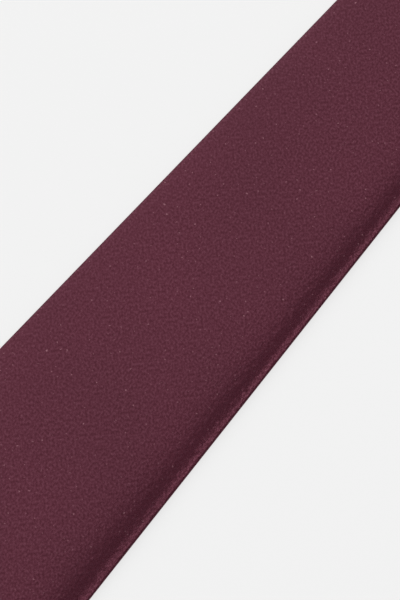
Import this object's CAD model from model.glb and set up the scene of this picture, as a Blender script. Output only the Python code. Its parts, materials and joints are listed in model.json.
import json
import math

import bmesh
import bpy
import numpy as np
from mathutils import Matrix, Vector, noise


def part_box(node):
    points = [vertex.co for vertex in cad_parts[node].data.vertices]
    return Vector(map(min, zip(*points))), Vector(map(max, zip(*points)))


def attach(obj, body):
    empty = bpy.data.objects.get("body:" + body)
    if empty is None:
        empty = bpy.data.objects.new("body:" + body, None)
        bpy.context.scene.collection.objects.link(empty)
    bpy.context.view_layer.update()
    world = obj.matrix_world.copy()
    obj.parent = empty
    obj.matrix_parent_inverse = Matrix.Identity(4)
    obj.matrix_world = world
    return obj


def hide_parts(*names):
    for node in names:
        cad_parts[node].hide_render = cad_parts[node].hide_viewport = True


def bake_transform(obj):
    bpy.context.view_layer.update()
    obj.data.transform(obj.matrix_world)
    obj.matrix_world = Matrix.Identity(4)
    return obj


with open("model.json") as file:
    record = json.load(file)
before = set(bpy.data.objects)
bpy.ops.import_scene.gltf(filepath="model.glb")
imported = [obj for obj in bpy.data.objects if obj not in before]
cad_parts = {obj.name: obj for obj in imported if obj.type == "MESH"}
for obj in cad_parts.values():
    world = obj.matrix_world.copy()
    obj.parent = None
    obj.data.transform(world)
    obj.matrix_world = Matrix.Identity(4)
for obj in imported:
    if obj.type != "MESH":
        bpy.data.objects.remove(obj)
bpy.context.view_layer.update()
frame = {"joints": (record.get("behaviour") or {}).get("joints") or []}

# A folded necktie. Lengths are in metres. The tie is built as one flat strip and then laid:
#   along   distance along the strip from the fold, negative on the front blade, positive on the tail
#   across  distance from the strip's middle line
#   rise    distance from the strip's middle surface, positive on the satin face
MM = 0.001

# ---- the fold, from the frame

fold_joint = next(joint for joint in frame["joints"] if joint["name"] == "neck_fold")
FOLD_X, FOLD_Y, FOLD_MID = fold_joint["pos_m"]
SKEW = math.atan2(fold_joint["axis"][0], -fold_joint["axis"][1])
TIE_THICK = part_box("tail_shell")[1][2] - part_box("tail_shell")[0][2]
TAIL_MID = TIE_THICK / 2
RAISED_MID = 2 * FOLD_MID - TAIL_MID
FOLD_RADIUS = FOLD_MID - TAIL_MID
ARC = math.pi * FOLD_RADIUS
BLADE_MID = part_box("blade_shell")[0][2] + TIE_THICK / 2

# ---- the tie's pattern

NECK_HALF = 18 * MM
# the mean height of the ramp by which the blade comes down off the tail
RAMP_HEAD = -105 * MM
RAMP_FOOT = -240 * MM

# step is 1 where the strip runs from the point to the fold and -1 where it runs back
BLADE = {
    "name": "blade", "step": 1,
    "tip": -785 * MM - ARC / 2, "seam": -90 * MM - ARC / 2,
    "half": 40 * MM, "taper_end": 620 * MM, "tack": 145 * MM, "tipping": 176 * MM,
}
TAIL = {
    "name": "tail", "step": -1,
    "tip": 685 * MM + ARC / 2, "seam": 205 * MM + ARC / 2,
    "half": 24 * MM, "taper_end": 480 * MM, "tack": 95 * MM, "tipping": 118 * MM,
}

CLOTH = 0.28 * MM
EQUATOR = -0.5 * MM          # rise of the rolled edge's outermost line
ROLL = (0.5 * MM, 0.4 * MM)  # width and rise of the tight roll at the edge
SLOPES = ((2.5 * MM, 0.56 * MM), (8 * MM, 1.43 * MM))  # length and rise of the two slopes above it
BACK_DROP = 1.2 * MM         # and down to the back
BACK_WIDE = 5 * MM
LAP_RISE = 0.43 * MM         # extra height of the flap that laps over
LAP_EDGE = -2 * MM           # where its folded edge lies across the tie
LAP_EASE = (3 * MM, 12 * MM)  # distances from that edge between which the extra height fades
UNDER_EDGE = 4 * MM          # where the under flap's folded edge lies
UNDER_RISE = -0.2 * MM       # extra height of the under flap
TURN_RADIUS = 0.3 * MM
TURN_UNDER = 9 * MM
# what the two flaps add to twice the finished width: their lap and both turned edges
HEM = 9 * MM
HEM_DROP = 0.8 * MM
BACK_FLAT = EQUATOR - BACK_DROP
SWELL = 0.10 * MM            # the face's slow unevenness
SWELL_WAVE = 70 * MM
SWELL_EDGE = 12 * MM         # it fades within so much of the edge
PRESSED = 0.1                # share of the satin's rise lost where the table flattens it
SHOULDER = 1.3 * MM          # how round the shoulders are
SHOULDER_DEPTH = 4 * MM      # how deep the rounding reaches
OFF_LEAF = 1.0               # a way from the tip so long that the point has no effect
GROOVE = 0.16

KEEPER_ALONG = -565 * MM - ARC / 2
KEEPER_HALF = 26 * MM
KEEPER_WIDE = 14 * MM
KEEPER_WALL = 0.11 * MM
KEEPER_GAP = 0.24 * MM       # its middle layer's height over the table

LABEL_ALONG = -605 * MM - ARC / 2
LABEL_HALF = 25 * MM
LABEL_SIDE = 18 * MM
LABEL_FOLD = 7 * MM
LABEL_RUN = 2 * (LABEL_HALF + LABEL_FOLD)

CARE_ALONG = 500 * MM + ARC / 2
CARE_LONG = 32 * MM
CARE_HALF = 11 * MM
CARE_RISE = -2.2 * MM        # of its outer surface


def at(leaf, from_tip):
    """Distance along the strip of a place so far from the leaf's point."""
    return leaf["tip"] + leaf["step"] * from_tip


def to_tip(leaf, along):
    """Distance from the leaf's point of a place along the strip."""
    return (along - leaf["tip"]) * leaf["step"]


def bias(cut):
    """How far a seam sewn on the bias is shifted along the strip, as a function of the cut coordinate."""
    return np.clip(cut, -2.2 * NECK_HALF, 2.2 * NECK_HALF)


def smooth(value, low, high):
    """Ease from 0 at low to 1 at high."""
    part = np.clip((value - low) / (high - low), 0, 1)
    return part * part * (3 - 2 * part)


def shoulder(half, across, from_tip):
    """Distance in from the nearer edge, and how much a rounded shoulder takes off it at the outline."""
    side = half - np.abs(across)
    point = (from_tip - np.abs(across)) / math.sqrt(2)
    nearest = np.maximum(np.minimum(side, point), 0)
    return nearest, SHOULDER * np.log(1 + np.exp(-np.abs(side - point) / SHOULDER)), side - point


def draw_in(leaf, along, across):
    """Draw the cloth in at the shoulders of the blade or tail, so that they are round."""
    from_tip = to_tip(leaf, along)
    nearest, taken, difference = shoulder(leaf_half(leaf, from_tip), across, from_tip)
    to_side = 1 / (1 + np.exp(np.clip(difference / SHOULDER, -60, 60)))
    to_point = (1 - to_side) / math.sqrt(2)
    inward = to_side + to_point
    move = taken * np.exp(-nearest / SHOULDER_DEPTH) / (to_point ** 2 + inward ** 2)
    return along + leaf["step"] * move * to_point, across - np.sign(across) * move * inward


def lay(along, across, rise):
    """Lay points of the strip on the table, round the fold; gives an array of x, y, z."""
    along, across, rise = np.broadcast_arrays(*(np.asarray(v, float) for v in (along, across, rise)))
    for leaf in (BLADE, TAIL):
        along, across = draw_in(leaf, along, across)
    to_fold = along * math.cos(SKEW) + across * math.sin(SKEW)
    # round the fold the cloth creeps sideways, so that both middle lines meet at the fold's middle
    creep = np.clip(to_fold, -ARC / 2, ARC / 2) * math.tan(SKEW)
    on_fold = -along * math.sin(SKEW) + across * math.cos(SKEW) + creep
    turn = np.clip(to_fold / FOLD_RADIUS, -math.pi / 2, math.pi / 2)
    rise = np.where(rise > 0, rise * (1 - PRESSED * smooth(to_fold, -ARC / 2, ARC / 2)), rise)
    ramp = BLADE_MID + (RAISED_MID - BLADE_MID) * smooth(along, RAMP_FOOT, RAMP_HEAD)
    out = np.where(to_fold < -ARC / 2, to_fold + ARC / 2,
                   np.where(to_fold > ARC / 2, ARC / 2 - to_fold, (FOLD_RADIUS + rise) * np.cos(turn)))
    height = np.where(to_fold < -ARC / 2, ramp + rise,
                      np.where(to_fold > ARC / 2, TAIL_MID - rise,
                               FOLD_MID - (FOLD_RADIUS + rise) * np.sin(turn)))
    x = FOLD_X + out * math.cos(SKEW) - on_fold * math.sin(SKEW)
    y = FOLD_Y + out * math.sin(SKEW) + on_fold * math.cos(SKEW)
    return np.stack([x, y, height], axis=-1)


def leaf_half(leaf, from_tip):
    """Half width of the blade or tail at a distance from its point."""
    slope = (leaf["half"] - NECK_HALF) / (leaf["taper_end"] - leaf["half"])
    left = leaf["taper_end"] - from_tip
    eased = 0.5 * (left + np.sqrt(left * left + (20 * MM) ** 2))
    return np.minimum(NECK_HALF + slope * eased, leaf["half"])


def ripple(along, across, wave, seed):
    """Slow smooth unevenness between about -1 and 1."""
    flat_along, flat_across = np.broadcast_arrays(along, across)
    values = [noise.noise(Vector((a / wave, c / wave * 1.7, seed)))
              for a, c in zip(flat_along.ravel(), flat_across.ravel())]
    return np.array(values).reshape(flat_along.shape) * 1.6


def edge_distance(half, across, from_tip):
    """Distance in from the tie's outline; from_tip is OFF_LEAF where no point is near."""
    nearest, taken, _ = shoulder(half, across, from_tip)
    return nearest - taken * (1 - np.exp(-nearest / SHOULDER_DEPTH))


def face_rise(half, across, from_tip, along):
    """Rise of the satin face: a tight roll at the edge, then a crown that flattens to the middle."""
    distance = edge_distance(half, across, from_tip)
    middle = np.maximum(half - distance, 0)
    roll = ROLL[1] * np.sqrt(1 - (1 - np.clip(distance / ROLL[0], 0, 1)) ** 2)
    steep = SLOPES[0][1] * (1 - np.exp(-distance / SLOPES[0][0]))
    gentle = SLOPES[1][1] * (1 - np.cosh(middle / SLOPES[1][0]) / np.cosh(half / SLOPES[1][0]))
    swell = SWELL * ripple(along, across, SWELL_WAVE, 3.1) * np.clip(distance / SWELL_EDGE, 0, 1)
    return EQUATOR + roll + steep + gentle + swell


def back_rise(half, across, from_tip):
    """Rise of the back, nearly flat; the lapping flap lies a little proud of it."""
    distance = edge_distance(half, across, from_tip)
    inward = 1 - np.clip(distance / BACK_WIDE, 0, 1)
    return EQUATOR - BACK_DROP * np.sqrt(1 - inward ** 2)


# ---- columns of the cloth, flap to flap

EDGE_SPACING = np.array([0, 0.02, 0.09, 0.2, 0.34, 0.5, 0.8, 1.2, 1.7, 2.4, 3.3, 4.6, 6.2, 8.3, 11, 14]) * MM
MIDDLE_STEPS = 10
BACK_STEPS = 6
FLAP_STEPS = 7


def face_columns(half):
    """Across positions of the face from the left rolled edge to the right, for each row's half width."""
    left = half[:, None] - EDGE_SPACING[None, :]
    middle = left[:, -1:] * np.linspace(1, -1, MIDDLE_STEPS + 1)[None, 1:-1]
    return np.concatenate([left, middle, -left[:, ::-1]], axis=1)


def back_columns(half, edge):
    """Across positions from beside a rolled edge to the flap's folded edge (left side; edge is signed)."""
    angles = np.linspace(0, math.pi / 2, BACK_STEPS + 1)[1:]
    near = half[:, None] - BACK_WIDE * (1 - np.cos(angles))[None, :]
    share = np.linspace(0, 1, FLAP_STEPS + 1)[1:]
    far = near[:, -1:] + (edge - near[:, -1:]) * share[None, :]
    return np.concatenate([near, far], axis=1)


def section(leaf, half, along_of):
    """Columns of one shell: across, rise and cut coordinate for every row and column.

    leaf is None for the neck, half is the half width at each row's middle, and along_of gives along from
    the cut coordinate, row by row.
    """
    def fit(across, cut):
        """Columns moved to the half width where they are, with along, the way from the tip and the half."""
        along = along_of(cut)
        from_tip = to_tip(leaf, along) if leaf else np.full(along.shape, OFF_LEAF)
        true_half = leaf_half(leaf, from_tip) if leaf else np.full(along.shape, NECK_HALF)
        return across * true_half / half[:, None], along, from_tip, true_half

    def flap(side, edge, extra):
        """One back flap, from the rolled edge to its turned-under raw edge; side is 1 left, -1 right."""
        across = back_columns(half, edge)
        cut = 2 * half[:, None] - across
        across, _, from_tip, true_half = fit(across, side * cut)
        rise = back_rise(true_half, across, from_tip)
        rise = rise - extra * (1 - smooth(across, edge + LAP_EASE[0], edge + LAP_EASE[1]))
        angles = np.radians([45, 90, 135, 180])
        under = np.array([0.4, 1.0]) * TURN_UNDER
        turns = (np.concatenate([-TURN_RADIUS * np.sin(angles), under]),
                 TURN_RADIUS * np.concatenate([1 - np.cos(angles), [2, 2]]),
                 np.concatenate([TURN_RADIUS * angles, TURN_RADIUS * math.pi + under]))
        across, rise, cut = (np.concatenate([grid, grid[:, -1:] + turn[None, :]], axis=1)
                             for grid, turn in zip((across, rise, cut), turns))
        return side * across, rise, side * cut

    cut = face_columns(half)
    across, along, from_tip, true_half = fit(cut, cut)
    face = (across, face_rise(true_half, across, from_tip, along), cut)
    left = flap(1, -UNDER_EDGE, UNDER_RISE)
    right = flap(-1, LAP_EDGE, LAP_RISE)
    return tuple(np.concatenate([left[i][:, ::-1], face[i], right[i]], axis=1) for i in range(3))


# ---- meshes

def collect(name, vertices, faces, uvs=None, rolled=None):
    """Make an object from vertices, faces, one UV pair per vertex and how rolled the cloth is there."""
    mesh = bpy.data.meshes.new(name)
    mesh.from_pydata([tuple(v) for v in vertices], [], faces)
    if uvs is not None:
        layer = mesh.uv_layers.new(name="cloth")
        for loop in mesh.loops:
            layer.data[loop.index].uv = uvs[loop.vertex_index]
    if rolled is not None:
        mesh.attributes.new("rolled", "FLOAT", "POINT").data.foreach_set("value", rolled)
    piece = bpy.data.objects.new(name, mesh)
    bpy.context.scene.collection.objects.link(piece)
    return piece


def grid_faces(rows, columns, first=0, closed=False):
    """Quads of a grid of vertices; closed joins the last column to the first."""
    faces = []
    for r in range(rows - 1):
        for c in range(columns if closed else columns - 1):
            d = (c + 1) % columns
            a = first + r * columns
            faces.append((a + c, a + d, a + columns + d, a + columns + c))
    return faces


def rework(piece, change):
    """Let a function change the piece's mesh as a bmesh."""
    work = bmesh.new()
    work.from_mesh(piece.data)
    change(work)
    work.to_mesh(piece.data)
    work.free()


def settle(piece, thickness=0.0):
    """Give a sheet its thickness below its outer surface, apply it, and shade it smooth."""
    if thickness:
        solid = piece.modifiers.new("thickness", "SOLIDIFY")
        solid.thickness = thickness
        solid.offset = -1
        solid.use_even_offset = False
        graph = bpy.context.evaluated_depsgraph_get()
        finished = bpy.data.meshes.new_from_object(piece.evaluated_get(graph), preserve_all_data_layers=True,
                                                   depsgraph=graph)
        piece.modifiers.clear()
        piece.data = finished
    for polygon in piece.data.polygons:
        polygon.use_smooth = True
    return piece


def sheet_object(name, grids, thickness, outward):
    """Join grids of (points, uvs, rolled) into one sheet, weld them and give it thickness.

    outward is a pair (point, direction): the sheet's outer side there.
    """
    vertices, uvs, faces, rolled = [], [], [], []
    for points, coordinates, near_roll in grids:
        rows, columns = points.shape[:2]
        faces += grid_faces(rows, columns, len(vertices))
        vertices += list(points.reshape(-1, 3))
        uvs += [tuple(pair) for pair in coordinates.reshape(-1, 2)]
        rolled += list(np.broadcast_to(near_roll, (rows, columns)).ravel())
    piece = collect(name, vertices, faces, uvs, rolled)
    target, direction = outward

    def weld(work):
        """Join the grids and turn the faces outward."""
        bmesh.ops.remove_doubles(work, verts=work.verts, dist=0.002 * MM)
        bmesh.ops.dissolve_degenerate(work, edges=work.edges, dist=0.0005 * MM)
        bmesh.ops.recalc_face_normals(work, faces=work.faces)
        nearest = min(work.faces, key=lambda face: (face.calc_center_median() - Vector(target)).length)
        if nearest.normal.dot(Vector(direction)) < 0:
            bmesh.ops.reverse_faces(work, faces=work.faces)

    rework(piece, weld)
    return settle(piece, thickness)


def thread_points(points, radius, first, sides=6):
    """Ring vertices and faces of a round thread along world points; first is its first vertex's number."""
    path = [Vector(p) for p in points]
    vertices = []
    normal = None
    for i, point in enumerate(path):
        ahead = path[min(i + 1, len(path) - 1)] - path[max(i - 1, 0)]
        ahead.normalize()
        if normal is None:
            normal = ahead.orthogonal().normalized()
        normal = (normal - ahead * normal.dot(ahead)).normalized()
        side = ahead.cross(normal)
        fat = radius * (0.55 if i in (0, len(path) - 1) else 1.0)
        for k in range(sides):
            angle = 2 * math.pi * k / sides
            vertices.append(point + normal * (fat * math.cos(angle)) + side * (fat * math.sin(angle)))
    faces = grid_faces(len(path), sides, first, closed=True)
    last = first + (len(path) - 1) * sides
    faces.append(tuple(first + k for k in reversed(range(sides))))
    faces.append(tuple(last + k for k in range(sides)))
    return vertices, faces


def threads(name, paths, radius):
    """One object of many separate stitches; each path is a list of world points."""
    vertices, faces = [], []
    for path in paths:
        rings, quads = thread_points(path, radius, len(vertices))
        faces += quads
        vertices += rings
    return settle(collect(name, vertices, faces))


def finish_piece(piece, body, material, node):
    """Dress a piece and its CAD node, and let it ride; body is None on the neck."""
    piece.data.materials.clear()
    piece.data.materials.append(material)
    if body:
        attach(piece, body)
    else:
        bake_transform(piece)
    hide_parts(node)
    return piece


# ---- materials

WAVE_PERIOD = math.pi / 10   # of a wave texture at scale 1


def new_material(name):
    material = bpy.data.materials.new(name)
    material.use_nodes = True
    tree = material.node_tree
    return material, tree, tree.nodes["Principled BSDF"]


def grey(value):
    return (value, value, value)


def is_socket(value):
    return isinstance(value, bpy.types.NodeSocket)


def set_inputs(node, **values):
    """Set a node's own sockets, named with underscores for spaces."""
    for key, value in values.items():
        node.inputs[key.replace("_", " ")].default_value = value


def feed(tree, socket, value):
    """Link another socket to a socket, or set its value."""
    if is_socket(value):
        tree.links.new(value, socket)
    else:
        socket.default_value = value


def add(tree, kind, **values):
    """Add a node; a key is one of its properties or, with underscores for spaces, one of its sockets."""
    made = tree.nodes.new(kind)
    for key, value in values.items():
        if hasattr(made, key):
            setattr(made, key, value)
        else:
            set_inputs(made, **{key: value})
    return made


def ramp(tree, factor, stops):
    """The colour from a colour ramp with (position, colour) stops."""
    made = tree.nodes.new("ShaderNodeValToRGB")
    elements = made.color_ramp.elements
    while len(elements) > 1:
        elements.remove(elements[0])
    elements[0].position, elements[0].color = stops[0][0], (*stops[0][1], 1)
    for position, colour in stops[1:]:
        elements.new(position).color = (*colour, 1)
    tree.links.new(factor, made.inputs["Fac"])
    return made.outputs["Color"]


def mix_colour(tree, blend_type, factor, first, second):
    """Mix two colours; factor, first and second are sockets or values."""
    made = add(tree, "ShaderNodeMix", data_type="RGBA", blend_type=blend_type)
    feed(tree, made.inputs[0], factor)
    for index, value in ((6, first), (7, second)):
        feed(tree, made.inputs[index], value if is_socket(value) else (*value, 1))
    return made.outputs[2]


def bump(tree, height, strength, distance, below=None):
    """The normal of a bump, over another normal if one is given."""
    made = add(tree, "ShaderNodeBump", Distance=distance)
    feed(tree, made.inputs["Strength"], strength)
    tree.links.new(height, made.inputs["Height"])
    if below:
        tree.links.new(below, made.inputs["Normal"])
    return made.outputs["Normal"]


def cloth_grain(tree, coordinate, along_scale, across_scale, turn):
    """Noise drawn out along the floats of the weave, in waves a metre of cut cloth."""
    turned = add(tree, "ShaderNodeMapping", Rotation=(0, 0, turn))
    stretched = add(tree, "ShaderNodeMapping", Scale=(across_scale, along_scale, 1))
    tree.links.new(coordinate.outputs["UV"], turned.inputs["Vector"])
    tree.links.new(turned.outputs["Vector"], stretched.inputs["Vector"])
    grain = add(tree, "ShaderNodeTexNoise", Scale=1.0, Detail=0.6, Roughness=0.5)
    tree.links.new(stretched.outputs["Vector"], grain.inputs["Vector"])
    return grain.outputs["Fac"]


def noise_at(tree, coordinate, scale, detail=2.0, output="Fac"):
    """Even noise on the cut cloth at so many waves a metre."""
    made = add(tree, "ShaderNodeTexNoise", Scale=scale, Detail=detail, Roughness=0.5)
    tree.links.new(coordinate.outputs["UV"], made.inputs["Vector"])
    return made.outputs[output]


def satin_material():
    """Burgundy satin: fine floats on the bias, a soft sheen, small slubs and slow shade changes."""
    material, tree, shader = new_material("burgundy_satin")
    coordinate = tree.nodes.new("ShaderNodeTexCoord")
    grain = cloth_grain(tree, coordinate, 1150, 1450, math.radians(45))
    tone = ramp(tree, grain, [(0.27, (0.046, 0.0064, 0.0134)), (0.5, (0.063, 0.0120, 0.0224)),
                              (0.73, (0.084, 0.0220, 0.0358))])
    shade = ramp(tree, noise_at(tree, coordinate, 22), [(0.3, grey(0.94)), (0.7, grey(1.05))])
    shaded = mix_colour(tree, "MULTIPLY", 1.0, tone, shade)
    slub = ramp(tree, noise_at(tree, coordinate, 950, 1.0), [(0.70, grey(0)), (0.80, grey(1))])
    tree.links.new(mix_colour(tree, "MIX", slub, shaded, (0.20, 0.09, 0.11)), shader.inputs["Base Color"])
    gloss = ramp(tree, grain, [(0.35, grey(0.31)), (0.65, grey(0.22))])
    tree.links.new(gloss, shader.inputs["Roughness"])
    set_inputs(shader, Metallic=0.4, Specular_IOR_Level=0.4, Specular_Tint=(1.0, 0.48, 0.60, 1),
               Sheen_Weight=0.03, Sheen_Roughness=0.4, Sheen_Tint=(1.0, 0.62, 0.70, 1))
    rolled = add(tree, "ShaderNodeAttribute", attribute_name="rolled").outputs["Fac"]
    puckers = bump(tree, noise_at(tree, coordinate, 520, 1.5), rolled, 0.1 * MM)
    tree.links.new(bump(tree, grain, 1.0, 0.025 * MM, puckers), shader.inputs["Normal"])
    return material


def woven_material(name, dark, light, pitch, rough, tint=(1, 1, 1), border=None):
    """Plain woven cloth: warp and weft waves at a pitch, with uneven yarn.

    border is (centre x, centre y, half x, half y) of a lighter woven line round a label.
    """
    material, tree, shader = new_material(name)
    coordinate = tree.nodes.new("ShaderNodeTexCoord")
    waves = []
    for direction in ("X", "Y"):
        wave = add(tree, "ShaderNodeTexWave", wave_type="BANDS", bands_direction=direction,
                   Scale=WAVE_PERIOD / pitch, Distortion=0.8, Detail=1.0)
        tree.links.new(coordinate.outputs["UV"], wave.inputs["Vector"])
        waves.append(wave.outputs["Color"])
    weave = mix_colour(tree, "MULTIPLY", 1.0, *waves)
    both = mix_colour(tree, "MIX", 0.45, weave, noise_at(tree, coordinate, 420, 3.0, "Color"))
    colour = ramp(tree, both, [(0.12, dark), (0.62, light)])
    if border:
        colour = mix_colour(tree, "MIX", border_line(tree, coordinate, *border), colour,
                            tuple(min(1.0, 3.2 * v + 0.03) for v in light))
    tree.links.new(colour, shader.inputs["Base Color"])
    set_inputs(shader, Roughness=rough, Specular_IOR_Level=0.35, Specular_Tint=(*tint, 1))
    tree.links.new(bump(tree, both, 0.6, 0.1 * MM), shader.inputs["Normal"])
    return material


def border_line(tree, coordinate, x, y, half_x, half_y):
    """A socket that is 1 on a thin rectangle line on the cut cloth and 0 elsewhere."""
    parts = tree.nodes.new("ShaderNodeSeparateXYZ")
    tree.links.new(coordinate.outputs["UV"], parts.inputs[0])

    def reckon(operation, *values):
        made = add(tree, "ShaderNodeMath", operation=operation)
        for socket, value in zip(made.inputs, values):
            feed(tree, socket, value)
        return made.outputs[0]

    gaps = []
    for socket, centre, half in ((parts.outputs[0], x, half_x), (parts.outputs[1], y, half_y)):
        away = reckon("ABSOLUTE", reckon("SUBTRACT", socket, centre))
        gaps.append(reckon("SUBTRACT", half, away))
    return reckon("COMPARE", reckon("MINIMUM", *gaps), 0.0, 0.35 * MM)


def felt_material():
    """Brushed wool canvas, undyed, with a short nap."""
    material, tree, shader = new_material("wool_canvas")
    fibre = noise_at(tree, tree.nodes.new("ShaderNodeTexCoord"), 900, 5.0)
    tone = ramp(tree, fibre, [(0.3, (0.46, 0.41, 0.33)), (0.7, (0.72, 0.67, 0.57))])
    tree.links.new(tone, shader.inputs["Base Color"])
    set_inputs(shader, Roughness=0.95, Sheen_Weight=0.4)
    tree.links.new(bump(tree, fibre, 0.6, 0.3 * MM), shader.inputs["Normal"])
    return material


def thread_material(name, dark, light):
    """Twisted sewing thread: fine slanting shade changes and a little gloss."""
    material, tree, shader = new_material(name)
    coordinate = tree.nodes.new("ShaderNodeTexCoord")
    twist = add(tree, "ShaderNodeTexWave", wave_type="BANDS", bands_direction="DIAGONAL", Scale=1200.0,
                Distortion=1.0)
    tree.links.new(coordinate.outputs["Object"], twist.inputs["Vector"])
    tone = ramp(tree, twist.outputs["Fac"], [(0.2, dark), (0.8, light)])
    tree.links.new(tone, shader.inputs["Base Color"])
    set_inputs(shader, Roughness=0.45)
    tree.links.new(bump(tree, twist.outputs["Fac"], 0.3, 0.05 * MM), shader.inputs["Normal"])
    return material


SATIN = satin_material()
LINING = woven_material("burgundy_lining", (0.030, 0.0045, 0.0095), (0.098, 0.0185, 0.034), 0.45 * MM, 0.4,
                        (1.0, 0.5, 0.6))
CANVAS = felt_material()
THREAD = thread_material("burgundy_thread", (0.055, 0.012, 0.02), (0.15, 0.045, 0.065))
BRAND_TAPE = woven_material("charcoal_label", (0.010, 0.010, 0.013), (0.055, 0.055, 0.064), 0.6 * MM, 0.5,
                            border=(LABEL_ALONG, LABEL_RUN / 2, 15.5 * MM, 22 * MM))
CARE_TAPE = woven_material("white_label", (0.56, 0.55, 0.52), (0.86, 0.85, 0.82), 0.5 * MM, 0.55)

# ---- shells

ROW_STEP = 3 * MM
SEAM_ROWS = np.array([2.2, 1.4, 0.8, 0.4]) * MM
GROOVE_WIDE = 1.1 * MM
HEM_ROWS = np.array([0, 0.15, 0.5, 1.0, 1.8, 3.2, 6.0, HEM / MM]) * MM
HEM_ROLL = 1.8 * MM
HEM_TAPER = 0.3              # how fast the hem draws in under the flap
FOLD_ZONE = 16 * MM          # either side of the fold, with rows parallel to it
FACE_SPOT = 300 * MM         # a place on the leaf, from its point, that shows which side is out


def point_rows(length):
    """Row positions from a point to a seam: close together where the pointed edge rolls."""
    rolled = math.sqrt(2) * EDGE_SPACING
    count = int((length - rolled[-1]) / ROW_STEP)
    straight = np.linspace(rolled[-1], length, count + 1)[1:]
    return np.unique(np.concatenate([rolled, straight, length - SEAM_ROWS]))


def groove(across, rise, from_end):
    """Draw a shell's surface in where a seam is sewn."""
    depth = GROOVE * np.exp(-(from_end / GROOVE_WIDE) ** 2)
    return across * (1 - 0.02 * depth), EQUATOR + (rise - EQUATOR) * (1 - depth)


def leaf_grid(leaf):
    """The wrapped cloth of the blade or tail: along, across, rise and cut for every row and column."""
    length = abs(leaf["seam"] - leaf["tip"])
    rows = point_rows(length)
    slope = (leaf["tack"] - leaf["half"]) / leaf["half"]

    half = leaf_half(leaf, rows)
    for _ in range(4):
        def from_tip_of(cut):
            away = np.abs(cut)
            start = np.where(away <= half[:, None], away, leaf["half"] + (away - half[:, None]) * slope)
            return start + (length - bias(cut) - start) * (rows / length)[:, None]

        def along_of(cut):
            return at(leaf, from_tip_of(cut))

        across, rise, cut = section(leaf, half, along_of)
        distance = from_tip_of(cut)
        half = leaf_half(leaf, distance[:, distance.shape[1] // 2])
    across, rise = groove(across, rise, length - bias(cut) - distance)
    return along_of(cut), across, rise, cut


def hem_grid(leaf, side):
    """The pointed end's hem: the cloth turned back along one slanting edge, ending inside the flap."""
    columns = face_columns(np.full(1, leaf["half"]))
    across = np.repeat(columns[:, columns[0] * side > -0.001 * MM], len(HEM_ROWS), axis=0)
    inward = HEM_ROWS[:, None]
    from_tip = np.abs(across) + math.sqrt(2) * inward
    half = leaf_half(leaf, from_tip)
    room = half - HEM_TAPER * inward
    held = np.clip(across, -room, room)
    from_tip = np.maximum(from_tip - (np.abs(across) - np.abs(held)), 0)
    drop = HEM_DROP * np.sqrt(1 - (1 - np.clip(inward / HEM_ROLL, 0, 1)) ** 2)
    under_flap = back_rise(half, held, OFF_LEAF) + CLOTH + 0.05 * MM
    rise = np.where(inward > 0, np.maximum(EQUATOR - drop, under_flap), EQUATOR)
    cut_across = side * (np.abs(across) + math.sqrt(2) * inward)
    uvs = np.stack([cut_across, at(leaf, np.abs(across))], axis=-1)
    return lay(at(leaf, from_tip), held, rise), uvs, 1.0


def near_edge(half, across):
    """1 at a rolled edge, falling towards the middle, where the cloth lies smoother."""
    return 0.25 + 0.75 * (1 - smooth(half - np.abs(across), 3 * MM, 13 * MM))


def make_shell(leaf):
    """Blade or tail shell, one sheet from flap to flap with its pointed hem."""
    along, across, rise, cut = leaf_grid(leaf)
    middle = lay(at(leaf, FACE_SPOT), 0.0, 0.0)
    top = lay(at(leaf, FACE_SPOT), 0.0, 5 * MM)
    rolled = near_edge(leaf_half(leaf, to_tip(leaf, along)), across)
    grids = [(lay(along, across, rise), np.stack([cut, along], axis=-1), rolled),
             hem_grid(leaf, 1), hem_grid(leaf, -1)]
    piece = sheet_object(leaf["name"] + "_shell_cloth", grids, CLOTH, (top, top - middle))
    return finish_piece(piece, leaf["name"], SATIN, leaf["name"] + "_shell")


def neck_grid():
    """The neck's wrapped cloth between its two bias seams, with rows parallel to the fold at the fold."""
    first = np.linspace(0, 1, 27)
    middle = np.linspace(0, 1, 41)
    last = np.linspace(0, 1, 60)
    half = np.full(len(first) + len(middle) + len(last) - 2, NECK_HALF)

    def along_of(cut):
        shift = bias(cut)
        fold_line = -across_of_cut(cut) * math.tan(SKEW)
        start = BLADE["seam"] - shift[:1]
        before = fold_line[:1] - FOLD_ZONE
        after = fold_line[:1] + FOLD_ZONE
        end = TAIL["seam"] + shift[:1]
        parts = [start + (before - start) * first[:, None],
                 (before + (after - before) * middle[:, None])[1:],
                 (after + (end - after) * last[:, None])[1:]]
        return np.concatenate(parts)

    def across_of_cut(cut):
        size = np.abs(cut)
        return np.sign(cut) * np.where(size <= NECK_HALF, size, 2 * NECK_HALF - size)

    across, rise, cut = section(None, half, along_of)
    along = along_of(cut)
    gap = np.minimum(np.abs(along - (BLADE["seam"] - bias(cut))), np.abs(along - (TAIL["seam"] + bias(cut))))
    across, rise = groove(across, rise, gap)
    return along, across, rise, cut


def make_neck():
    """Neck shell, bent round the fold; it turns between blade and tail."""
    along, across, rise, cut = neck_grid()
    grid = (lay(along, across, rise), np.stack([cut, along], axis=-1), near_edge(NECK_HALF, across))
    piece = sheet_object("neck_shell_cloth", [grid], CLOTH, (lay(-60 * MM, 0.0, 5 * MM), (0, 0, 1)))
    return finish_piece(piece, None, SATIN, "neck_shell")


blade_shell = make_shell(BLADE)
tail_shell = make_shell(TAIL)
neck_shell = make_neck()


# ---- sheets declared as cloth


# ---- interlinings and tippings

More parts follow.
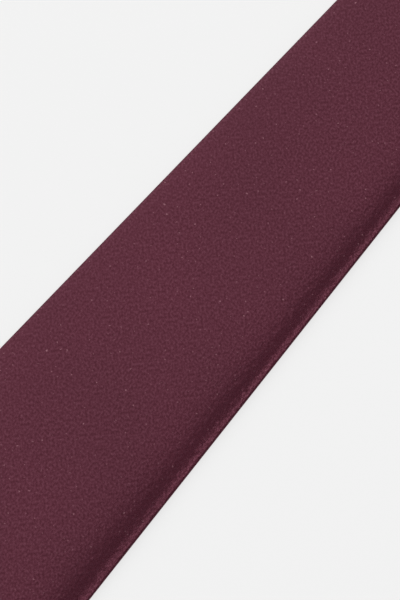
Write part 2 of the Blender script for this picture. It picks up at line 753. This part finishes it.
CANVAS_INSET = 1.5 * MM
CANVAS_GAP = 0.1 * MM        # between the satin and the canvas
CANVAS_BACK = -0.6 * MM
CANVAS_LEAST = 0.25 * MM     # its thickness where the face leaves it no more
CANVAS_STOP = 1 * MM         # how far it stops short of a seam
TIPPING_THICK = 0.18 * MM
TIPPING_INSET = 2.4 * MM
TIPPING_RISE = -1.03 * MM
TIPPING_LIFT = 0.2 * MM      # how far it goes up under the flaps
TIPPING_PUCKER = 0.06 * MM


def slab(name, along, across, top, bottom):
    """A closed slab between a grid's top and bottom rise, seen as one thick piece of cloth."""
    rows, columns = across.shape
    upper = lay(along, across, top).reshape(-1, 3)
    lower = lay(along, across, bottom).reshape(-1, 3)
    count = rows * columns
    faces = grid_faces(rows, columns)
    faces += [tuple(count + i for i in reversed(quad)) for quad in grid_faces(rows, columns)]
    rim = (list(range(columns)) + [r * columns + columns - 1 for r in range(1, rows)]
           + [(rows - 1) * columns + c for c in range(columns - 2, -1, -1)]
           + [r * columns for r in range(rows - 2, 0, -1)])
    for i, start in enumerate(rim):
        end = rim[(i + 1) % len(rim)]
        faces.append((end, start, count + start, count + end))
    uvs = np.stack([np.broadcast_to(across, along.shape), along], axis=-1).reshape(-1, 2)
    piece = collect(name, list(upper) + list(lower), faces, [tuple(pair) for pair in uvs] * 2)
    rework(piece, lambda work: bmesh.ops.recalc_face_normals(work, faces=work.faces))
    return settle(piece)


def canvas_rises(half, across, from_tip, along):
    """Top and bottom of the interlining under the face cloth."""
    top = face_rise(half, across, from_tip, along) - CLOTH - CANVAS_GAP
    return top, np.minimum(CANVAS_BACK, top - CANVAS_LEAST)


def make_leaf_canvas(leaf):
    """Interlining of the blade or tail, from just inside the point to the seam."""
    length = abs(leaf["seam"] - leaf["tip"]) - CANVAS_STOP
    share = np.linspace(-1, 1, 25)
    spread = np.sin(share * math.pi / 2)
    rows = np.unique(np.concatenate([np.linspace(0, 0.06, 12), np.linspace(0.06, 1, 90)]))
    half = leaf_half(leaf, rows * length)[:, None]
    for _ in range(6):
        across = (half - CANVAS_INSET) * spread[None, :]
        start = np.abs(across) + CANVAS_INSET * math.sqrt(2)
        from_tip = start + (length - across - start) * rows[:, None]
        half = leaf_half(leaf, from_tip)
    along = at(leaf, from_tip)
    top, bottom = canvas_rises(half, across, from_tip, along)
    piece = slab(leaf["name"] + "_canvas", along, across, top, bottom)
    finish_piece(piece, leaf["name"], CANVAS, leaf["name"] + "_interlining")


def make_neck_canvas():
    """Interlining of the neck, round the fold."""
    across = (NECK_HALF - CANVAS_INSET) * np.sin(np.linspace(-1, 1, 21) * math.pi / 2)[None, :]
    fold_line = -across * math.tan(SKEW)
    before = BLADE["seam"] + CANVAS_STOP - across
    after = TAIL["seam"] - CANVAS_STOP + across
    first = before + (fold_line - FOLD_ZONE - before) * np.linspace(0, 1, 22)[:, None]
    middle = fold_line + FOLD_ZONE * np.linspace(-1, 1, 37)[1:, None]
    last = fold_line + FOLD_ZONE + (after - fold_line - FOLD_ZONE) * np.linspace(0, 1, 50)[1:, None]
    along = np.concatenate([first, middle, last])
    across = np.repeat(across, len(along), axis=0)
    top, bottom = canvas_rises(NECK_HALF, across, OFF_LEAF, along)
    piece = slab("neck_canvas", along, across, top, bottom)
    finish_piece(piece, None, CANVAS, "neck_interlining")


def make_tipping(leaf):
    """Lining behind the point, under the hem and the flaps."""
    spread = np.linspace(-1, 1, 31)
    across = (leaf["half"] - TIPPING_INSET) * spread[None, :]
    start = np.abs(across) + TIPPING_INSET * math.sqrt(2)
    share = np.concatenate([np.linspace(0, 0.15, 8)[:-1], np.linspace(0.15, 1, 34)])
    from_tip = start + (leaf["tipping"] - start) * share[:, None]
    across = across * leaf_half(leaf, from_tip) / leaf["half"]
    under_flaps = smooth(from_tip, leaf["tack"] - 40 * MM, leaf["tack"] - 12 * MM)
    pucker = TIPPING_PUCKER * ripple(from_tip, across, 14 * MM, 8.4)
    rise = TIPPING_RISE + TIPPING_LIFT * under_flaps + pucker * (1 - under_flaps)
    rise = np.maximum(rise, TIPPING_RISE - 0.03 * MM)
    along = at(leaf, from_tip)
    place = lay(at(leaf, 60 * MM), 0.0, -1 * MM)
    under = lay(at(leaf, 60 * MM), 0.0, -6 * MM)
    uvs = np.stack([np.broadcast_to(across, along.shape), along], axis=-1)
    piece = sheet_object(leaf["name"] + "_lining", [(lay(along, across, rise), uvs, 0.0)], TIPPING_THICK,
                         (place, under - place))
    finish_piece(piece, leaf["name"], LINING, leaf["name"] + "_tipping")


# ---- sewing

THREAD_RADIUS = 0.11 * MM
SLIP_GAP = 9 * MM
SLIP_LONG = 1.6 * MM
FELL_MARGIN = 0.86           # share of the way to a corner that the fell stitches reach


def laid(path):
    """World points of a path of strip points (along, across, rise)."""
    return lay(*np.transpose(path))


def sew(name, paths, radius, body, node):
    """Make stitches along paths of world points, and let them ride."""
    return finish_piece(threads(name, paths, radius), body, THREAD, node)


def stitch(start, end, lift):
    """A stitch between two strip points (along, across, rise), bowed out by lift, in world points."""
    share = np.linspace(0, 1, 7)
    a, b = np.array(start), np.array(end)
    points = a + (b - a) * share[:, None]
    points[:, 2] += lift * np.sin(share * math.pi) ** 0.6
    return laid(points)


def slip_stitches(name, body, first, last, node):
    """Short slanting stitches that hold the lapping flap down, well apart, except under other pieces."""
    rng = np.random.default_rng(11)
    paths = []
    place = min(first, last)
    edge = -LAP_EDGE
    top = BACK_FLAT - LAP_RISE
    under = BACK_FLAT + 0.2 * MM
    covered = [(LABEL_ALONG, LABEL_SIDE), (KEEPER_ALONG, KEEPER_WIDE / 2),
               (CARE_ALONG + CARE_LONG / 2, CARE_LONG / 2)]
    while place < max(first, last):
        if any(abs(place - middle) < reach + 3 * MM for middle, reach in covered):
            place += 2 * MM
            continue
        slant = SLIP_LONG + rng.uniform(-0.3, 0.3) * MM
        paths.append(laid([
            (place, edge - 1.1 * MM, top + 0.1 * MM),
            (place + 0.3 * slant, edge - 0.5 * MM, top - 0.1 * MM),
            (place + 0.6 * slant, edge + 0.12 * MM, top - 0.02 * MM),
            (place + 0.85 * slant, edge + 0.5 * MM, under - 0.25 * MM),
            (place + slant, edge + 1.1 * MM, under + 0.05 * MM),
        ]))
        place += SLIP_GAP + rng.uniform(-1, 1) * MM
    sew(name, paths, THREAD_RADIUS, body, node)


def bar_tack(leaf):
    """Close wraps of thread across the two flaps where they meet at the top of the opening."""
    rng = np.random.default_rng(5)
    paths = []
    along = at(leaf, leaf["tack"] + 3 * MM)
    surface = BACK_FLAT - LAP_RISE
    for i in range(8):
        shift = (i - 3.5) * 0.21 * MM + rng.uniform(-0.04, 0.04) * MM
        reach = 3.4 * MM + rng.uniform(-0.25, 0.25) * MM
        across = np.array([-1, -0.92, -0.5, 0, 0.5, 0.66, 0.92, 1]) * reach
        lift = np.array([-0.1, 0.09, 0.14, 0.16, 0.14, 0.12, -0.2, -0.4]) * MM
        paths.append(lay(along + shift + across * 0.03, across, surface - lift))
    sew(leaf["name"] + "_tack_threads", paths, 0.13 * MM, leaf["name"], leaf["name"] + "_bar_tack")


def fell_stitches(leaf):
    """Small stitches holding the lining to the hem and to the flaps' slanting edges."""
    paths = []
    hem_rise = EQUATOR - HEM_DROP
    lining_rise = TIPPING_RISE - 0.04 * MM
    inner_half = (leaf["half"] - HEM * math.sqrt(2)) * 0.97
    slope = (leaf["tack"] - leaf["half"]) / leaf["half"]
    for side in (1, -1):
        across = 2 * MM
        while across < inner_half * FELL_MARGIN:
            from_tip = across + math.sqrt(2) * HEM
            start = (at(leaf, from_tip - 1.0 * MM), side * (across - 0.2 * MM), hem_rise - 0.04 * MM)
            end = (at(leaf, from_tip + 0.9 * MM), side * (across + 0.5 * MM), lining_rise)
            paths.append(stitch(start, end, -0.12 * MM))
            across += 2.6 * MM
        out = 4 * MM
        while out < leaf["half"] * FELL_MARGIN:
            across = leaf["half"] - out
            from_tip = leaf["half"] + out * slope
            start = (at(leaf, from_tip + 0.9 * MM), side * (across + 0.9 * MM), BACK_FLAT - 0.03 * MM)
            end = (at(leaf, from_tip - 0.6 * MM), side * (across - 0.7 * MM), lining_rise)
            paths.append(stitch(start, end, -0.14 * MM))
            out += 1.3 * MM
    sew(leaf["name"] + "_fell_threads", paths, 0.09 * MM, leaf["name"], leaf["name"] + "_tipping_seam")


def seam_stitches(leaf, name, node):
    """The stitches of a seam across the tie, down in its groove."""
    paths = []
    across = -NECK_HALF + 1.2 * MM
    while across < NECK_HALF - 2 * MM:
        steps = np.linspace(across, across + 1.7 * MM, 5)
        along = leaf["seam"] - leaf["step"] * steps
        rise = face_rise(NECK_HALF, steps, OFF_LEAF, along)
        sunk = EQUATOR + (rise - EQUATOR) * (1 - GROOVE)
        dip = np.array([0.12, 0.0, -0.03, 0.0, 0.12]) * MM
        paths.append(lay(along, steps, sunk - dip))
        across += 2.2 * MM
    sew(name, paths, 0.1 * MM, leaf["name"], node)


# ---- keeper loop and labels

def back_line(across):
    """Rise of the blade's or tail's back with a margin over the lap, where something lies across it."""
    across = np.asarray(across, float)
    return BACK_FLAT - LAP_RISE * (1 - smooth(np.abs(across), 2.2 * MM, 11 * MM))


def make_keeper():
    """Flattened tube of satin across the back, with its ends tacked down."""
    centres = np.linspace(-KEEPER_HALF, KEEPER_HALF, 41)
    lift = smooth(np.abs(centres), KEEPER_HALF - 7 * MM, KEEPER_HALF - 1.5 * MM)
    rise_middle = np.interp(lift, [0, 1], [KEEPER_GAP - BLADE_MID, BACK_FLAT - 0.19 * MM])
    thick = 0.15 * MM
    flat = KEEPER_WIDE / 2 - thick
    turn = np.linspace(0.5, 2.6, 5)
    ring = [(x, -thick) for x in np.linspace(-flat, flat, 13)]
    ring += [(flat + thick * math.sin(t), -thick * math.cos(t)) for t in turn]
    ring = np.array(ring + [(-x, -y) for x, y in ring])
    narrow = 1 - 0.02 * np.cos(centres / KEEPER_HALF * math.pi)
    along = KEEPER_ALONG + ring[None, :, 0] * narrow[:, None]
    across = np.repeat(centres[:, None], len(ring), axis=1)
    points = lay(along, across, rise_middle[:, None] + ring[None, :, 1])
    around = np.concatenate([[0], np.cumsum(np.hypot(*np.diff(ring, axis=0).T))])
    uvs = [(u, v) for v in centres for u in around]
    piece = collect("keeper_tube", points.reshape(-1, 3), grid_faces(*across.shape, closed=True), uvs)
    rework(piece, lambda work: bmesh.ops.recalc_face_normals(work, faces=work.faces))
    settle(piece, KEEPER_WALL)
    finish_piece(piece, "blade", SATIN, "keeper_loop")
    paths = []
    for end in (1, -1):
        for i in range(9):
            along = KEEPER_ALONG + (i - 4) * 1.2 * MM
            across = end * (KEEPER_HALF + np.array([-1.1, -0.9, -0.3, 0.3, 0.9, 1.3]) * MM)
            lift = np.array([-0.34, -0.44, -0.46, -0.34, -0.1, 0.12]) * MM
            paths.append(lay(along + np.linspace(-0.15, 0.15, 6) * MM, across, BACK_FLAT + lift))
    sew("keeper_threads", paths, THREAD_RADIUS, "blade", "keeper_tacks")


def make_brand_label():
    """Blank woven label across the back, its ends folded under, held by a stitch at each corner."""
    turn = np.linspace(0.3, math.pi - 0.3, 5)
    fold = 0.11 * MM
    middle_depth = 0.14 * MM
    outer = np.linspace(-LABEL_HALF, LABEL_HALF, 45)
    under = np.linspace(-LABEL_HALF + LABEL_FOLD, -LABEL_HALF, 6)
    under_depth = np.full(len(under), middle_depth - fold)
    across = np.concatenate([under, -LABEL_HALF - fold * np.sin(turn), outer,
                             LABEL_HALF + fold * np.sin(turn), -under[::-1]])
    depth = np.concatenate([under_depth, middle_depth - fold * np.cos(turn),
                            np.full(len(outer), middle_depth + fold),
                            middle_depth + fold * np.cos(turn), under_depth])
    along = LABEL_ALONG + np.linspace(-LABEL_SIDE, LABEL_SIDE, 25)
    grid_along, grid_across = np.meshgrid(along, across, indexing="ij")
    rise = back_line(grid_across) - depth[None, :]
    points = lay(grid_along, grid_across, rise)
    run = np.concatenate([[0], np.cumsum(np.hypot(np.diff(across), np.diff(depth)))])
    uvs = np.stack(np.meshgrid(along, run, indexing="ij"), axis=-1)
    middle = lay(LABEL_ALONG, 0.0, BACK_FLAT - LAP_RISE - middle_depth - fold)
    piece = sheet_object("blank_label", [(points, uvs, 0.0)], 0.1 * MM, (middle, (0, 0, -1)))
    finish_piece(piece, "blade", BRAND_TAPE, "brand_label")
    paths = []
    for end in (1, -1):
        for corner in (1, -1):
            for i in range(3):
                along = LABEL_ALONG + corner * (LABEL_SIDE - (1.0 + 0.5 * i) * MM)
                across = end * (LABEL_HALF + np.array([-1.5, -1.3, -0.5, 0.2, 0.5]) * MM)
                lift = np.array([-0.22, -0.36, -0.38, -0.3, 0.12]) * MM
                paths.append(lay(along, across, BACK_FLAT + lift))
    sew("blank_label_threads", paths, THREAD_RADIUS, "blade", "brand_label_stitches")


def make_care_label():
    """Blank ribbon sewn by its end to the tail's back; its free end curls up a little."""
    reach = np.linspace(0, CARE_LONG, 33)
    across = np.linspace(-CARE_HALF, CARE_HALF, 21)
    grid_reach, grid_across = np.meshgrid(reach, across, indexing="ij")
    curl = (0.5 * MM * smooth(grid_reach, 16 * MM, CARE_LONG)
            + 0.1 * MM * smooth(np.abs(grid_across), 4 * MM, CARE_HALF))
    rise = CARE_RISE - curl * smooth(grid_reach, 0, 6 * MM) * 0.8
    points = lay(CARE_ALONG + grid_reach, grid_across, rise)
    uvs = np.stack([grid_across, grid_reach], axis=-1)
    middle = lay(CARE_ALONG + 5 * MM, 0.0, CARE_RISE)
    piece = sheet_object("care_ribbon", [(points, uvs, 0.0)], 0.11 * MM, (middle, (0, 0, 1)))
    finish_piece(piece, "care_label", CARE_TAPE, "care_label")
    paths = []
    for i in range(8):
        across = -9.1 * MM + i * 2.6 * MM
        surface = float(back_line(across))
        paths.append(laid([
            (CARE_ALONG - 1.3 * MM, across, surface + 0.1 * MM),
            (CARE_ALONG - 1.0 * MM, across, surface - 0.14 * MM),
            (CARE_ALONG - 0.3 * MM, across + 0.1 * MM, CARE_RISE - 0.04 * MM),
            (CARE_ALONG + 0.4 * MM, across + 0.2 * MM, CARE_RISE - 0.1 * MM),
            (CARE_ALONG + 0.9 * MM, across + 0.3 * MM, CARE_RISE - 0.08 * MM),
            (CARE_ALONG + 1.1 * MM, across + 0.3 * MM, CARE_RISE + 0.1 * MM),
        ]))
    sew("care_threads", paths, THREAD_RADIUS, "tail", "care_label_stitches")


for leaf in (BLADE, TAIL):
    make_leaf_canvas(leaf)
    make_tipping(leaf)
    bar_tack(leaf)
    fell_stitches(leaf)
make_neck_canvas()
slip_stitches("blade_slip_threads", "blade", BLADE["tip"] + BLADE["tack"] + 9 * MM, BLADE["seam"] - 4 * MM,
              "blade_slip_stitch")
slip_stitches("tail_slip_threads", "tail", TAIL["seam"] + 4 * MM, TAIL["tip"] - TAIL["tack"] - 9 * MM,
              "tail_slip_stitch")
slip_stitches("neck_slip_threads", None, BLADE["seam"] + 3 * MM, TAIL["seam"] - 3 * MM, "neck_slip_stitch")
seam_stitches(BLADE, "blade_neck_seam_threads", "blade_neck_seam")
seam_stitches(TAIL, "neck_tail_seam_threads", "neck_tail_seam")
make_keeper()
make_brand_label()
make_care_label()


# ---- floor, light and camera

VIEW_DISTANCE = 0.6485
VIEW_LENS = 120
VIEW_ELEVATION = math.radians(73.45)
VIEW_HEADING = math.radians(50.03)
TARGET = Vector((FOLD_X - 0.6038, FOLD_Y - 0.0023, BLADE_MID))
LIGHT_DISTANCE = 2.0
LIGHT_LONG = 2.6
FLOOR_HALF = 8


def make_camera():
    """Camera above the front blade, looking down along it from beside its point."""
    right = Vector((math.cos(VIEW_HEADING), -math.sin(VIEW_HEADING), 0))
    ahead = Vector((math.sin(VIEW_HEADING), math.cos(VIEW_HEADING), 0))
    look = ahead * math.cos(VIEW_ELEVATION) - Vector((0, 0, 1)) * math.sin(VIEW_ELEVATION)
    up = right.cross(look)
    turn = Matrix((right, up, -look)).transposed()
    data = bpy.data.cameras.new("photo_camera")
    data.lens = VIEW_LENS
    data.clip_start = 0.01
    camera = bpy.data.objects.new("photo_camera", data)
    camera.matrix_world = Matrix.Translation(TARGET - look * VIEW_DISTANCE) @ turn.to_4x4()
    bpy.context.scene.collection.objects.link(camera)
    bpy.context.scene.camera = camera


def make_light(name, sideways, endways, wide, power):
    """Soft light facing the target, at angles in degrees from straight overhead.

    sideways is the angle towards the far long edge of the blade, endways towards its neck. The light is
    LIGHT_LONG along the blade and wide across it.
    """
    data = bpy.data.lights.new(name, "AREA")
    data.shape = "RECTANGLE"
    data.size, data.size_y = LIGHT_LONG, wide
    data.energy = power
    light = bpy.data.objects.new(name, data)
    back = Vector((math.tan(math.radians(endways)), math.tan(math.radians(sideways)), 1)).normalized()
    along = (Vector((1, 0, 0)) - back * back.x).normalized()
    turn = Matrix((along, back.cross(along), back)).transposed()
    light.matrix_world = Matrix.Translation(TARGET + back * LIGHT_DISTANCE) @ turn.to_4x4()
    bpy.context.scene.collection.objects.link(light)


def make_floor():
    """Pale table under even light: most of its brightness is its own, so that it throws hardly a shadow."""
    mesh = bpy.data.meshes.new("floor")
    corners = [(x * FLOOR_HALF, y * FLOOR_HALF, 0) for x, y in ((-1, -1), (1, -1), (1, 1), (-1, 1))]
    mesh.from_pydata(corners, [], [(0, 1, 2, 3)])
    floor = bpy.data.objects.new("floor", mesh)
    floor.location.z = -0.05 * MM
    bpy.context.scene.collection.objects.link(floor)
    material, _, shader = new_material("pale_table")
    set_inputs(shader, Base_Color=(0.16, 0.16, 0.16, 1), Roughness=1.0, Specular_IOR_Level=0.0,
               Emission_Color=(1, 1, 1, 1), Emission_Strength=0.74)
    mesh.materials.append(material)


def make_world():
    """Pale walls up to eye height under a dim ceiling, and a pale backdrop beyond the table."""
    world = bpy.data.worlds.new("studio")
    world.use_nodes = True
    tree = world.node_tree
    direction = tree.nodes.new("ShaderNodeTexCoord")
    height = tree.nodes.new("ShaderNodeSeparateXYZ")
    tree.links.new(direction.outputs["Generated"], height.inputs[0])
    walls = ramp(tree, height.outputs["Z"], [(0.0, grey(0.62)), (0.50, grey(0.50)), (0.72, grey(0.12))])
    room = tree.nodes["Background"]
    tree.links.new(walls, room.inputs["Color"])
    backdrop = add(tree, "ShaderNodeBackground", Color=(1, 1, 1, 1), Strength=0.88)
    seen = tree.nodes.new("ShaderNodeLightPath")
    choice = tree.nodes.new("ShaderNodeMixShader")
    tree.links.new(seen.outputs["Is Camera Ray"], choice.inputs[0])
    tree.links.new(room.outputs[0], choice.inputs[1])
    tree.links.new(backdrop.outputs[0], choice.inputs[2])
    tree.links.new(choice.outputs[0], tree.nodes["World Output"].inputs["Surface"])
    bpy.context.scene.world = world


make_camera()
make_floor()
make_world()
make_light("overhead", 35.5, 10, 3.0, 39)
make_light("edge", -26, 10, 0.36, 9.3)
bpy.context.scene.view_settings.view_transform = "Standard"
